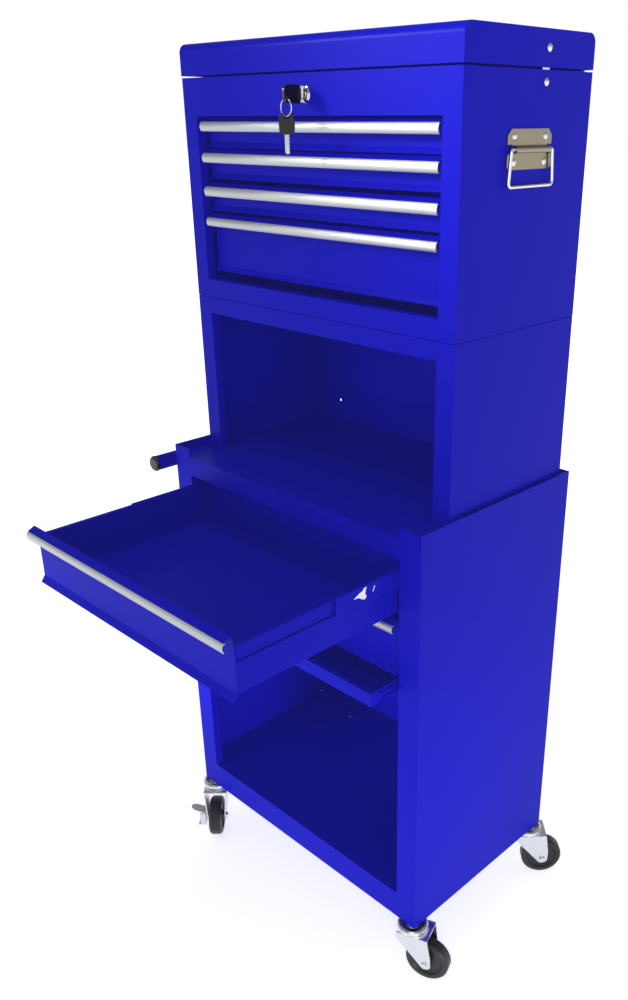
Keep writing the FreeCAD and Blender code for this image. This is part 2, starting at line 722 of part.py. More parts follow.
def drawer_rail(rail_front, rail_bottom, rail_top, pan):
    """Extruded pull rail: a shallow bowed section that grips the pan's folded edge."""
    height = rail_top - rail_bottom
    y = rail_front
    outer = [V(-FACE_HALF, y + 2.8, rail_top), V(-FACE_HALF, y, rail_bottom + 0.55 * height),
             V(-FACE_HALF, y + 2.2, rail_bottom)]
    inner = [V(-FACE_HALF, y + 2.2 + RAIL_T, rail_bottom + 0.5),
             V(-FACE_HALF, y + RAIL_T, rail_bottom + 0.55 * height),
             V(-FACE_HALF, y + 2.6, rail_top - 1.9)]
    lip_end = V(-FACE_HALF, y + 5.0, rail_top - 1.9)
    roof_end = V(-FACE_HALF, y + 5.0, rail_top - 1.3)
    slot = V(-FACE_HALF, y + 3.0, rail_top - 0.6)
    edges = [
        Part.Arc(outer[0], outer[1], outer[2]).toShape(),
        Part.makeLine(outer[2], inner[0]),
        Part.Arc(inner[0], inner[1], inner[2]).toShape(),
        Part.makeLine(inner[2], lip_end),
        Part.makeLine(lip_end, roof_end),
        Part.makeLine(roof_end, slot),
        Part.makeLine(slot, outer[0]),
    ]
    rail = Part.Face(Part.Wire(edges)).extrude(V(2 * FACE_HALF, 0, 0))
    return rail.cut(pan)


def runner(side, web_x, y0, y1, z, half, reach):
    """Channel that opens towards the drawer: a web and two flanges."""
    inner = web_x - SLIDE_T
    return on_side(fuse([
        box(inner, web_x, y0, y1, z - half, z + half),
        box(inner - reach, inner, y0, y1, z + half - SLIDE_T, z + half),
        box(inner - reach, inner, y0, y1, z - half, z - half + SLIDE_T),
    ]), side)


def fixed_half(middle_half):
    """Half the height of the fixed runner round a middle channel of that half height."""
    return middle_half + SLIDE_T + SLIDE_GAP


def drawer_runners():
    """The fixed channels in the chest and in the base, a pair for each drawer."""
    runners = []
    small = CHEST_KIND["channel_half"] + SLIDE_T + SMALL_RUNNER_PLAY
    large = fixed_half(fixed_half(BASE_KIND["channel_half"]))
    base_inner = BASE_W / 2 - STILE
    for side in (LEFT, RIGHT):
        for _, rail_top, _ in CHEST_DRAWERS:
            z = rail_top - CHEST_KIND["channel_drop"]
            runners.append(runner(side, CHEST_OPEN_HALF, UPPER_FRONT + RUNNER_INSET,
                                  UPPER_BACK - SHEET, z, small, 3.4))
        for _, rail_top, _, _ in BASE_DRAWERS:
            z = rail_top - BASE_KIND["channel_drop"]
            runners.append(runner(side, base_inner, 4, BASE_D - SHEET, z, large, 2.4))
        runners.append(runner(side, base_inner, 4, BASE_D - SHEET, tray_middle_z(), small, 2.6))
    return group(runners)


def slide_middle(rail_top, shift):
    """The pair of middle channels of one base drawer's telescopic slides."""
    web = BASE_W / 2 - STILE - SLIDE_T - SLIDE_GAP
    z = rail_top - BASE_KIND["channel_drop"]
    return group([runner(side, web, MIDDLE_CHANNEL_Y0 - shift, MIDDLE_CHANNEL_Y1 - shift,
                         z, fixed_half(BASE_KIND["channel_half"]), 2.4)
                  for side in (LEFT, RIGHT)])


def tray_middle_z():
    return (TRAY_Z0 + TRAY_Z1) / 2


def sliding_tray():
    """Shallow pull-out tray under the base drawers, with its channels."""
    front = TRAY_FRONT - TRAY_STORED_OUT
    back = front + TRAY_DEPTH
    floor_top = TRAY_Z0 + SHEET
    parts = [
        box(-TRAY_HALF, TRAY_HALF, front, front + SHEET, TRAY_Z0, TRAY_Z1),
        box(-TRAY_HALF, TRAY_HALF, front + SHEET, front + 7, TRAY_Z1 - SHEET, TRAY_Z1),
        box(-PAN_HALF, PAN_HALF, front + SHEET, back, TRAY_Z0, floor_top),
        box(-PAN_HALF, PAN_HALF, back - SHEET, back, floor_top, TRAY_Z1),
    ]
    for side in (LEFT, RIGHT):
        parts.append(box(side * (PAN_HALF - SHEET), side * PAN_HALF, front + SHEET, back,
                         floor_top, TRAY_Z1))
        parts += pan_channel(side, front + 14, back - 2, tray_middle_z(),
                             CHEST_KIND["channel_half"])
    return fuse(parts)


def divider_tabs(pan, rail_top, face):
    """A small pressed tab inside each side wall, which a divider hooks on."""
    y0, y1 = face + 50, face + 61
    z0, z1 = rail_top - 35, rail_top - 26
    reach = 2.2
    for side in (LEFT, RIGHT):
        x = side * (PAN_HALF - SHEET)
        tip = x - side * reach
        wedge = prism([V(x, y0, z0), V(x, y0, z1), V(tip, y0, z1)], V(0, y1 - y0, 0))
        pan = fuse([pan, wedge])
    return pan


def add_drawers():
    front = UPPER_FRONT - 0.4
    for i, (rail_bottom, rail_top, lip_z) in enumerate(CHEST_DRAWERS, start=1):
        pan = drawer_pan(front, rail_top, lip_z, CHEST_KIND)
        NODES["chest_drawer_%d" % i] = pan
        NODES["chest_drawer_rail_%d" % i] = drawer_rail(front, rail_bottom, rail_top, pan)
    for name, (rail_bottom, rail_top, lip_z, out) in zip(("upper", "lower"), BASE_DRAWERS):
        front = -1.0 - out
        pan = drawer_pan(front, rail_top, lip_z, BASE_KIND)
        NODES["base_drawer_" + name] = divider_tabs(pan, rail_top, drawer_face_y(front))
        NODES["base_drawer_rail_" + name] = drawer_rail(front, rail_bottom, rail_top, pan)
        NODES["slide_middle_" + name] = slide_middle(rail_top, out * SLIDE_TRAVEL_SHARE)
    NODES["sliding_tray"] = sliding_tray()


# Carrying handles

def plate_holes():
    """Rivet places of a carrying handle's plate, as (y, z)."""
    return [(PLATE_Y + sy * 26.2, PLATE_Z + sz * 12.0) for sy in (-1, 1) for sz in (-1, 1)]


def handle_plate(side):
    """Plate with a curled barrel for the bail's ends, notched beside the barrel."""
    w, h, cut = PLATE_W / 2, PLATE_H / 2, 6.0
    notch_z, notch_y = 4.6, 8.0
    outline = [
        (-w + 3, -h), (w - 3, -h), (w, -h + 3), (w, -notch_z), (w - notch_y, -notch_z),
        (w - notch_y, notch_z), (w, notch_z), (w, h - cut), (w - cut, h), (-w + cut, h),
        (-w, h - cut), (-w, notch_z), (-w + notch_y, notch_z), (-w + notch_y, -notch_z),
        (-w, -notch_z), (-w, -h + 3),
    ]
    plate = outline_x([(PLATE_Y + y, PLATE_Z + z) for y, z in outline],
                      UPPER_HALF, UPPER_HALF + PLATE_T)
    for y, z in plate_holes():
        plate = plate.cut(rod(RIVET_R, V(UPPER_HALF - 1, y, z), V(UPPER_HALF + 3, y, z)))
    axis_x = UPPER_HALF + BAIL_OUT
    start = V(axis_x, PLATE_Y - w + notch_y, PLATE_Z)
    end = V(axis_x, PLATE_Y + w - notch_y, PLATE_Z)
    saddle = box(UPPER_HALF, axis_x, start.y, end.y, PLATE_Z - BARREL_R, PLATE_Z + BARREL_R)
    plate = fuse([plate, rod(BARREL_R, start, end), saddle])
    bore = rod(BAIL_WIRE_R + BAIL_CLEARANCE, start - Y_AXIS, end + Y_AXIS)
    return on_side(plate.cut(bore), side)


def bail(side):
    """Wire bail with straight ends that turn in the plate's barrel."""
    x = UPPER_HALF + BAIL_OUT
    pin_half = 20.0
    points = [
        V(x, PLATE_Y - pin_half, PLATE_Z),
        V(x, PLATE_Y - BAIL_TOP_HALF, PLATE_Z),
        V(x, PLATE_Y - BAIL_BOTTOM_HALF, BAIL_BOTTOM_Z),
        V(x, PLATE_Y + BAIL_BOTTOM_HALF, BAIL_BOTTOM_Z),
        V(x, PLATE_Y + BAIL_TOP_HALF, PLATE_Z),
        V(x, PLATE_Y + pin_half, PLATE_Z),
    ]
    return on_side(bent_rod(points, (2.6, 4.0, 4.0, 2.6), BAIL_WIRE_R), side)


# Push handle

def push_handle_tube():
    tube = rod(TUBE_R, V(TUBE_X, TUBE_Y0, TUBE_Z), V(TUBE_X, TUBE_Y1, TUBE_Z))
    bore = rod(TUBE_R - TUBE_WALL, V(TUBE_X, TUBE_Y0 - 1, TUBE_Z), V(TUBE_X, TUBE_Y1 + 1, TUBE_Z))
    return tube.cut(bore)


def push_handle_brackets():
    """Two stamped brackets: a web that the tube passes through and a foot on the side."""
    side_x = -BASE_W / 2
    brackets = []
    web_outline = [
        (side_x, TUBE_Z - 14), (side_x - 14, TUBE_Z - 14), (TUBE_X + 4, TUBE_Z - 9),
        (TUBE_X, TUBE_Z - 9), (TUBE_X, TUBE_Z + 9), (side_x, TUBE_Z + 13),
    ]
    for y0, foot in ((BRACKET_INSET, 1), (BASE_D - BRACKET_INSET - BRACKET_T, -1)):
        web = outline_y(web_outline, y0, y0 + BRACKET_T)
        middle = y0 + BRACKET_T / 2
        end = middle + foot * 28.0
        foot_plate = box(side_x - 2, side_x, middle, end, TUBE_Z - 14, TUBE_Z + 13)
        bracket = fuse([web, foot_plate])
        tube = rod(TUBE_R, V(TUBE_X, TUBE_Y0, TUBE_Z), V(TUBE_X, TUBE_Y1, TUBE_Z))
        bracket = bracket.cut(tube)
        for z in (TUBE_Z - 7, TUBE_Z + 7):
            y = middle + foot * 18.0
            screw = Part.makeSphere(4.6, V(side_x - 0.6, y, z))
            keep = box(side_x - 6, side_x - 2, y - 5, y + 5, z - 5, z + 5)
            bracket = fuse([bracket, screw.common(keep)])
        brackets.append(bracket)
    return group(brackets)


def push_handle_caps():
    """Domed plastic caps with a plug inside each end of the tube."""
    caps = []
    for y, out in ((TUBE_Y0, -1), (TUBE_Y1, 1)):
        tip = y + out * CAP_L
        skirt = rod(TUBE_R + 0.6, V(TUBE_X, y, TUBE_Z), V(TUBE_X, tip, TUBE_Z))
        rim = [e for e in skirt.Edges if abs(e.CenterOfMass.y - tip) < 0.01]
        skirt = skirt.makeFillet(4.5, rim)
        plug = rod(TUBE_R - TUBE_WALL, V(TUBE_X, y, TUBE_Z), V(TUBE_X, y - out * 14, TUBE_Z))
        caps.append(fuse([skirt, plug]))
    return group(caps)


# Casters, drawn with the swivel axis on Z, the trailing side towards +X and z = 0 at
# the cabinet's underside

def caster_mount():
    """Fixed stem with its nut, and the domed cup that the swivel bowl turns round."""
    dome = Part.makeCone(DOME_R, DOME_R - 2.5, 9.0, V(0, 0, 0), -Z_AXIS)
    stem = rod(4.0, V(0, 0, -9.0), V(0, 0, 16.0))
    corners = [V(7.3 * math.cos(math.radians(a)), 7.3 * math.sin(math.radians(a)), SHEET)
               for a in range(30, 390, 60)]
    nut = prism(corners, V(0, 0, 6.5))
    return fuse([dome, stem, nut])


def caster_fork(lever):
    """Swivel bowl, crown plate and two side plates, with the axle through them.
    On a braked caster the axle reaches out through the brake lever."""
    bowl = fork_bowl()
    crown = fuse([
        rod(BOWL_R - 1.5, V(0, 0, CROWN_Z), V(0, 0, CROWN_Z + CROWN_T)),
        box(-8, CROWN_END, -FORK_HALF, FORK_HALF, CROWN_Z, CROWN_Z + CROWN_T),
    ])
    plates = [fork_plate(1), fork_plate(-1)]
    axle = rod(AXLE_R, V(TRAIL, -16.0, AXLE_Z), V(TRAIL, 16.0, AXLE_Z))
    heads = []
    for s in (-1, 1):
        start = LEVER_Y + LEVER_T + SLIDE_GAP if s == lever else 14.9
        heads.append(Part.makeCone(5.2, 4.0, 2.6, V(TRAIL, s * start, AXLE_Z), V(0, s, 0)))
    if lever:
        heads.append(rod(AXLE_R, V(TRAIL, 0, AXLE_Z), V(TRAIL, lever * 21.0, AXLE_Z)))
    return fuse([bowl, crown] + plates + [axle] + heads)


def fork_bowl():
    """Raceway bowl round the fixed dome: a ring with a rounded rim."""
    z0 = CROWN_Z + CROWN_T / 2
    profile = [
        V(BOWL_R - 3.0, 0, z0), V(BOWL_R, 0, z0 + 4.5), V(BOWL_R - 0.6, 0, -5.2),
        V(BOWL_R - 2.6, 0, -3.6), V(BOWL_R - 4.8, 0, -4.6), V(BOWL_R - 6.2, 0, -8.0),
        V(BOWL_R - 6.2, 0, z0),
    ]
    face = Part.Face(Part.makePolygon(profile + [profile[0]]))
    return face.revolve(V(0, 0, 0), Z_AXIS, 360)


def fork_plate(s):
    """Side plate: wide under the crown, tapering to a round end at the axle."""
    end_r = 8.0
    top = CROWN_Z + CROWN_T
    front = -18.0
    outline = [
        (front + 2, top), (CROWN_END, top), (TRAIL + end_r, AXLE_Z + 14), (TRAIL + end_r, AXLE_Z),
        (TRAIL - 6.8, AXLE_Z - 4.2), (-9.0, CROWN_Z - 17), (front, CROWN_Z - 6),
    ]
    plate = fuse([
        prism([V(x, 0, z) for x, z in outline], V(0, -FORK_T, 0)),
        rod(end_r, V(TRAIL, 0, AXLE_Z), V(TRAIL, -FORK_T, AXLE_Z)),
    ])
    plate.translate(V(0, FORK_HALF, 0))
    plate.rotate(V(0, FORK_HALF, top), X_AXIS, -FORK_LEAN_DEG)
    if s > 0:
        return plate
    return plate.mirror(V(0, 0, 0), Y_AXIS)


def caster_wheel():
    """Moulded wheel: rounded tread, dished sides and a hub with the axle's bore."""
    half = WHEEL_W / 2
    hub = 11.4
    bore = AXLE_R + PIN_CLEARANCE
    one_side = [
        (bore, hub), (8.0, hub), (9.0, half - 2.2), (20.0, half - 3.0), (22.5, half),
        (WHEEL_R - 2.5, half), (WHEEL_R, half - 3.0),
    ]
    profile = one_side + [(r, -y) for r, y in one_side[::-1]]
    points = [V(r, y, 0) for r, y in profile]
    face = Part.Face(Part.makePolygon(points + [points[0]]))
    wheel = face.revolve(V(0, 0, 0), Y_AXIS, 360)
    wheel.translate(V(TRAIL, 0, AXLE_Z))
    return wheel


def brake_lever(s):
    """Pressed lever beside the fork: a channel on the axle, a paddle to press it on and
    a foot to let it go."""
    y = s * LEVER_Y
    out = s * LEVER_T
    x0, x1 = TRAIL - LEVER_HALF, TRAIL + LEVER_HALF
    z0, z1 = AXLE_Z - 12, AXLE_Z + 9
    plate = box(x0, x1, y, y + out, z0, z1)
    hole = rod(AXLE_R + PIN_CLEARANCE, V(TRAIL, 0, AXLE_Z), V(TRAIL, s * 30, AXLE_Z))
    flanges = [box(x0, x0 + LEVER_T, y, y + s * 9, z0, z1),
               box(x1 - LEVER_T, x1, y, y + s * 9, z0, z1)]
    foot = box(x0, x1, y, y + s * 12, z0 - LEVER_T, z0)
    rise = 8.0 / PADDLE_OUT
    outline = [(x0, 0), (x0, PADDLE_OUT - 7), (x0 + 4, PADDLE_OUT), (x1 - 4, PADDLE_OUT),
               (x1, PADDLE_OUT - 7), (x1, 0)]
    paddle = prism([V(x, y + s * d, z1 + rise * d) for x, d in outline], V(0, 0, LEVER_T))
    return fuse([plate.cut(hole), foot, paddle] + flanges)


def place_caster(shape, caster):
    """Turn a caster piece to its trailing direction and put it under its corner."""
    side, row, turn, _ = CASTERS[caster]
    shape.rotate(V(0, 0, 0), Z_AXIS, turn)
    shape.translate(V(side * CASTER_X, CASTER_Y[row], 0))
    return shape


def add_casters():
    NODES["caster_mounts"] = group([place_caster(caster_mount(), name) for name in CASTERS])
    for name, (_, _, _, lever) in CASTERS.items():
        NODES["caster_fork_" + name] = place_caster(caster_fork(lever), name)
        NODES["caster_wheel_" + name] = place_caster(caster_wheel(), name)
        if lever:
            NODES["brake_lever_" + name] = place_caster(brake_lever(lever), name)


def build():
    """Fill NODES with every piece, in the layout frame."""
    for name, side in (("left", LEFT), ("right", RIGHT)):
        NODES["base_side_" + name] = base_side(side)
        NODES["middle_side_" + name] = middle_side(side)
        NODES["chest_side_" + name] = chest_side(side)
        NODES["bail_" + name] = bail(side)
    NODES["base_back"] = base_back()
    NODES["base_top_tray"] = base_top_tray()
    NODES["base_floor"] = base_floor()
    NODES["middle_back"] = middle_back()
    NODES["middle_top"] = middle_top()
    NODES["chest_back"] = chest_back()
    NODES["chest_floor"] = chest_floor()
    NODES["chest_front_panel"] = chest_front_panel()
    NODES["chest_till_floor"] = chest_till_floor()
    NODES["lid_shell"] = lid_shell()
    NODES["lid_stays"] = group([lid_stay(LEFT), lid_stay(RIGHT)])
    NODES["hinge_leaf_body"] = hinge_leaf(HINGE_Z - LEAF_H, HINGE_Z - 1.5, 0)
    NODES["hinge_leaf_lid"] = hinge_leaf(HINGE_Z + 1.5, HINGE_Z + LEAF_H, 1)
    NODES["hinge_pin"] = hinge_pin()
    NODES["body_rivets"] = body_rivets()
    NODES["lock_housing"] = lock_housing()
    NODES["lock_plug"] = lock_plug()
    NODES["lock_key_head"] = lock_key_head()
    NODES["key_ring"] = key_ring()
    NODES["spare_key_head"] = spare_key_head()
    NODES["spare_key_blade"] = spare_key_blade()
    NODES["drawer_runners"] = drawer_runners()
    NODES["handle_plates"] = group([handle_plate(LEFT), handle_plate(RIGHT)])
    NODES["push_handle_tube"] = push_handle_tube()
    NODES["push_handle_brackets"] = push_handle_brackets()
    NODES["push_handle_caps"] = push_handle_caps()
    add_drawers()
    add_casters()


def footprint_shift():
    """The move that puts the origin on the floor, under the middle of everything."""
    whole = Part.makeCompound(list(NODES.values())).optimalBoundingBox(False, False)
    return V(-(whole.XMin + whole.XMax) / 2, -(whole.YMin + whole.YMax) / 2, -whole.ZMin)


def export():
    os.makedirs("parts", exist_ok=True)
    shift = footprint_shift()
    for name, shape in NODES.items():
        placed = shape.copy()
        placed.translate(shift)
        placed.exportStep("parts/%s.step" % name)
    print("nodes", len(NODES), "shift", shift)


build()
export()
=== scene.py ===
# %% [markdown]
# # Rolling tool cabinet
# The cabinet is folded sheet steel with a smooth blue powder coat, aluminium pull rails,
# zinc plated hardware and black plastic wheels. Its construction comes in as a fixed
# frame, one object for each real piece. This script gives each piece its finish, softens
# the folded edges, adds the small trim that the frame leaves out, and sets the studio.

# %% Load the frame
import json
import math

import bmesh
import bpy
from mathutils import Matrix, Vector

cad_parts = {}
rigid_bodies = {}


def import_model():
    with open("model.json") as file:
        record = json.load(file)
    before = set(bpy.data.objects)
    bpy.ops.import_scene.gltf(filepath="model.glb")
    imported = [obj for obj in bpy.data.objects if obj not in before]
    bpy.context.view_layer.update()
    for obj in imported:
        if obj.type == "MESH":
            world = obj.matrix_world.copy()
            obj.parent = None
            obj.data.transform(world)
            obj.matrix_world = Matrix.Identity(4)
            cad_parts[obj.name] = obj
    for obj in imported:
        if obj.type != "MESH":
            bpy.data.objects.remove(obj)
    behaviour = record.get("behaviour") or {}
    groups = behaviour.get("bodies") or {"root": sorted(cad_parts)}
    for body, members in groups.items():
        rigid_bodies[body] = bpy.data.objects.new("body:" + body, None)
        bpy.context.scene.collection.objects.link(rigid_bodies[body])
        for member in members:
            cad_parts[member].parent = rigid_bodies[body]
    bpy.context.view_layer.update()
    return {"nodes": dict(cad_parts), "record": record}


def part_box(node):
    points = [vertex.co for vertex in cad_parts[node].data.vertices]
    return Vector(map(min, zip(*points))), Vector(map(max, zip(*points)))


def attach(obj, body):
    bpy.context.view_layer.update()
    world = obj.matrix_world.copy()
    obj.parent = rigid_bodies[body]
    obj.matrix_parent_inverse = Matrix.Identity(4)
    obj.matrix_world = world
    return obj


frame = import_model()
nodes = frame["nodes"]
print("pieces in the frame:", len(nodes))

# %% [markdown]
# All sizes here are metres, because Blender's unit is one metre. A helper turns
# millimetres into metres, so that the sizes below read as a maker would say them.
# Colours are written as sRGB hex values, which is how a paint chart gives them, and one
# function turns them into the linear values that the shader works with.

# %% Units and colours


def mm(value):
    return value / 1000.0


def paint(hex_code):
    """A linear colour with full alpha, from an sRGB hex value."""
    channels = [int(hex_code[i:i + 2], 16) / 255 for i in (1, 3, 5)]
    linear = [c / 12.92 if c <= 0.04045 else ((c + 0.055) / 1.055) ** 2.4
              for c in channels]
    return (*linear, 1.0)


print("one millimetre is", mm(1), "m and mid grey is", round(paint("#808080")[0], 3))

# %% [markdown]
# A material is a small network of nodes. One helper adds a node, sets its values and
# wires its inputs, and a second one starts a material from a plain Principled shader. A
# third adds a bump of noise, whose grains can be drawn out along one axis.

# %% Node helpers


def add_node(tree, kind, values=None, links=None, **settings):
    """Add one node. values fills its sockets, links wires other nodes' outputs into it."""
    node = tree.nodes.new(kind)
    for name, value in settings.items():
        setattr(node, name, value)
    for name, value in (values or {}).items():
        node.inputs[name].default_value = value
    for name, output in (links or {}).items():
        tree.links.new(output, node.inputs[name])
    return node


def new_finish(name, values):
    """A material whose Principled shader has these values. Returns material and shader."""
    material = bpy.data.materials.new(name)
    material.use_nodes = True
    shader = material.node_tree.nodes["Principled BSDF"]
    for socket, value in values.items():
        shader.inputs[socket].default_value = value
    return material, shader


NOISE_DETAIL = 2.0
EVEN, ALONG_X, ALONG_Y = (1, 1, 1), (0.02, 1, 1), (1, 0.05, 1)


def grain(material, shader, size_mm, stretch, height_mm):
    """A bump of noise with grains of size_mm. stretch says which way they are drawn out."""
    tree = material.node_tree
    place = add_node(tree, "ShaderNodeTexCoord")
    spread = add_node(tree, "ShaderNodeMapping", {"Scale": stretch},
                      {"Vector": place.outputs["Object"]})
    noise = add_node(tree, "ShaderNodeTexNoise",
                     {"Scale": 1.0 / mm(size_mm), "Detail": NOISE_DETAIL},
                     {"Vector": spread.outputs["Vector"]})
    bump = add_node(tree, "ShaderNodeBump", {"Strength": 1.0, "Distance": mm(height_mm)},
                    {"Height": noise.outputs["Fac"]})
    tree.links.new(bump.outputs["Normal"], shader.inputs["Normal"])
    return noise


print("noise is drawn out", round(1 / ALONG_X[0]), "times along X on the rails")

# %% [markdown]
# ## Powder coat
# The panels are powder coated mild steel: a polyester powder is sprayed on dry and baked
# to a smooth skin. It is a plastic film, so it isn't metallic. A bare film would reflect
# four hundredths of the white studio at every angle, which turns a deep blue to lavender.
# The photograph shows almost none of that, so the shader's specular level is cut back.
# Baking leaves a faint waviness a few millimetres across, called orange peel, which
# spreads what little is reflected.
#
# The photograph's shadows never go black but stop at a deep blue. Real paint doesn't glow,
# but here a very faint glow of that blue stands in for the light that a white room
# scatters into gaps and recesses.

# %% Powder coated steel
POWDER_BLUE = "#0A0AA1"
SHADOW_BLUE = "#13133F"
ORANGE_PEEL_MM, ORANGE_PEEL_HEIGHT_MM = 4.0, 0.006
powder_coat, powder_shader = new_finish("powder_coated_steel_royal_blue", {
    "Base Color": paint(POWDER_BLUE),
    "Roughness": 0.38,
    "IOR": 1.5,
    "Specular IOR Level": 0.03,
    "Emission Color": paint(SHADOW_BLUE),
    "Emission Strength": 1.0,
})
grain(powder_coat, powder_shader, ORANGE_PEEL_MM, EVEN, ORANGE_PEEL_HEIGHT_MM)
print("made", powder_coat.name, "in linear light", [round(c, 3) for c in paint(POWDER_BLUE)])

# %% [markdown]
# ## Anodised aluminium
# The pull rails are extruded aluminium, etched and anodised in natural silver. Etching
# leaves a fine satin surface, and the extrusion die draws faint lines along the rail. The
# lines run along X here, so the noise is drawn out along that axis.

# %% Anodised aluminium
DIE_LINE_MM, DIE_LINE_HEIGHT_MM = 0.7, 0.01
anodised, anodised_shader = new_finish("anodised_aluminium_satin", {
    "Base Color": paint("#B9BDC1"),
    "Metallic": 1.0,
    "Roughness": 0.55,
})
grain(anodised, anodised_shader, DIE_LINE_MM, ALONG_X, DIE_LINE_HEIGHT_MM)
print("made", anodised.name)

# %% [markdown]
# ## Zinc plate
# Forks, slides, hinge and rivets are zinc plated steel with a clear passivate. It is a
# bright, slightly bluish metal with a soft sheen. Barrel plating leaves it a little
# uneven, so its roughness varies in patches of a few millimetres.

# %% Zinc plated steel
PATCH_MM, PATCH_HEIGHT_MM = 5.0, 0.03
NOISE_LOW, NOISE_HIGH = 0.3, 0.7
BRIGHTEST_PATCH, DULLEST_PATCH = 0.2, 0.42
zinc, zinc_shader = new_finish("zinc_plated_steel", {
    "Base Color": paint("#D6D8DB"),
    "Metallic": 1.0,
    "Roughness": 0.3,
})
zinc_noise = grain(zinc, zinc_shader, PATCH_MM, EVEN, PATCH_HEIGHT_MM)
zinc_spread = add_node(zinc.node_tree, "ShaderNodeMapRange",
                       {"From Min": NOISE_LOW, "From Max": NOISE_HIGH,
                        "To Min": BRIGHTEST_PATCH, "To Max": DULLEST_PATCH},
                       {"Value": zinc_noise.outputs["Fac"]})
zinc.node_tree.links.new(zinc_spread.outputs["Result"], zinc_shader.inputs["Roughness"])
print("made", zinc.name)

# %% [markdown]
# ## Nickel plate
# The carrying handles have a thin nickel plate over rolled steel. Nickel is warmer and
# darker than zinc or chrome, and the rolling marks of the strip still show through it. The
# bails are drawn wire, which is smoother and takes a brighter plate.

# %% Nickel plated steel
ROLLING_MARK_MM, ROLLING_MARK_HEIGHT_MM = 0.8, 0.012
nickel, nickel_shader = new_finish("nickel_plated_steel", {
    "Base Color": paint("#8E8674"),
    "Metallic": 1.0,
    "Roughness": 0.28,
})
grain(nickel, nickel_shader, ROLLING_MARK_MM, ALONG_Y, ROLLING_MARK_HEIGHT_MM)
nickel_wire, _ = new_finish("nickel_plated_wire", {
    "Base Color": paint("#D9D7D4"),
    "Metallic": 1.0,
    "Roughness": 0.16,
})
print("made", nickel.name, "and", nickel_wire.name)

# %% [markdown]
# ## Chrome
# The lock's bezel and plug, the key ring and the spare key's blade are bright chrome or
# nickel: polished before plating, so almost a mirror.

# %% Chrome
chrome, _ = new_finish("polished_chrome", {
    "Base Color": paint("#C4C5C7"),
    "Metallic": 1.0,
    "Roughness": 0.08,
})
print("made", chrome.name)

# %% [markdown]
# ## Plastics
# The key heads are moulded ABS in a polished mould. The wheels are moulded
# polypropylene, which comes out of the mould with a duller, waxy surface, and the end
# caps of the push handle are soft PVC. The specular level of the first two is cut back for
# the same reason as the paint's: a white room on all sides would turn them grey.

# %% Moulded plastics
WAXY_GRAIN_MM, WAXY_GRAIN_HEIGHT_MM = 1.2, 0.01
key_plastic, _ = new_finish("moulded_black_abs", {
    "Base Color": paint("#141517"),
    "Roughness": 0.36,
    "IOR": 1.54,
    "Specular IOR Level": 0.3,
})
wheel_plastic, wheel_shader = new_finish("moulded_black_polypropylene", {
    "Base Color": paint("#222327"),
    "Roughness": 0.42,
    "IOR": 1.49,
    "Specular IOR Level": 0.35,
})
grain(wheel_plastic, wheel_shader, WAXY_GRAIN_MM, EVEN, WAXY_GRAIN_HEIGHT_MM)
cap_plastic, _ = new_finish("moulded_black_pvc", {
    "Base Color": paint("#151619"),
    "Roughness": 0.38,
    "IOR": 1.53,
})
print("made", key_plastic.name, wheel_plastic.name, cap_plastic.name)

# %% [markdown]
# ## Give every piece its finish
# The record lists a material slot for each piece of the frame, so one table from slot to
# finish dresses them all. The push handle's brackets are zinc plated and then painted with
# its tube. The thin wire bails and the plates share a slot but not a polish, so the bails
# are changed afterwards.

# %% Finish every piece
FINISHES = {
    "blue_paint": powder_coat,
    "blue_tube": powder_coat,
    "zinc_bracket": powder_coat,
    "anodised_rail": anodised,
    "zinc_steel": zinc,
    "nickel_handle": nickel,
    "chrome_lock": chrome,
    "black_key_head": key_plastic,
    "black_wheel": wheel_plastic,
    "black_cap": cap_plastic,
}


def dress(piece, finish):
    """Give a piece one finish and nothing else."""
    piece.data.materials.clear()
    piece.data.materials.append(finish)


for subpart in frame["record"]["subparts"]:
    dress(nodes[subpart["node"]], FINISHES[subpart["material_slot"]])
for side in ("left", "right"):
    dress(nodes["bail_" + side], nickel_wire)
print("finishes in use:", len(set(FINISHES.values())))

# %% [markdown]
# ## Soften the edges
# No real edge is perfectly sharp: a fold in 1 mm sheet has a radius of about the sheet's
# thickness, and a cut edge is rounded by its coating. A Bevel modifier rounds each sharp
# edge, and such thin bright lines are much of what makes painted steel look real.
#
# The frame's meshes are split along their edges and carry stored normals, which no longer
# fit once the edges are joined. So a small geometry node group drops the stored normals, a
# Weld modifier joins the seams and a Decimate modifier merges the triangles of each flat
# face. A Weighted Normal modifier after the bevel keeps the large faces looking flat.

# %% Drop the stored normals
plain_normals = bpy.data.node_groups.new("plain_normals", "GeometryNodeTree")
for in_out in ("INPUT", "OUTPUT"):
    plain_normals.interface.new_socket("Geometry", in_out=in_out,
                                       socket_type="NodeSocketGeometry")
given = add_node(plain_normals, "NodeGroupInput")
dropped = add_node(plain_normals, "GeometryNodeRemoveAttribute", {"Name": "custom_normal"},
                   {"Geometry": given.outputs["Geometry"]})
smooth = add_node(plain_normals, "GeometryNodeSetShadeSmooth", None,
                  {"Geometry": dropped.outputs["Geometry"]})
add_node(plain_normals, "NodeGroupOutput", None, {"Geometry": smooth.outputs["Geometry"]})
print("node group", plain_normals.name, "with", len(plain_normals.nodes), "nodes")

# %% Soften the edges
SEAM_MM = 0.005                   # corners closer than this are one corner
FLAT_ANGLE = math.radians(0.5)    # faces that meet flatter than this are one face
FOLD_ANGLE = math.radians(32)     # edges sharper than this are rounded
BEVEL_STEPS = 2
LARGE_FACES_RULE = 100            # how far the largest faces settle the shading


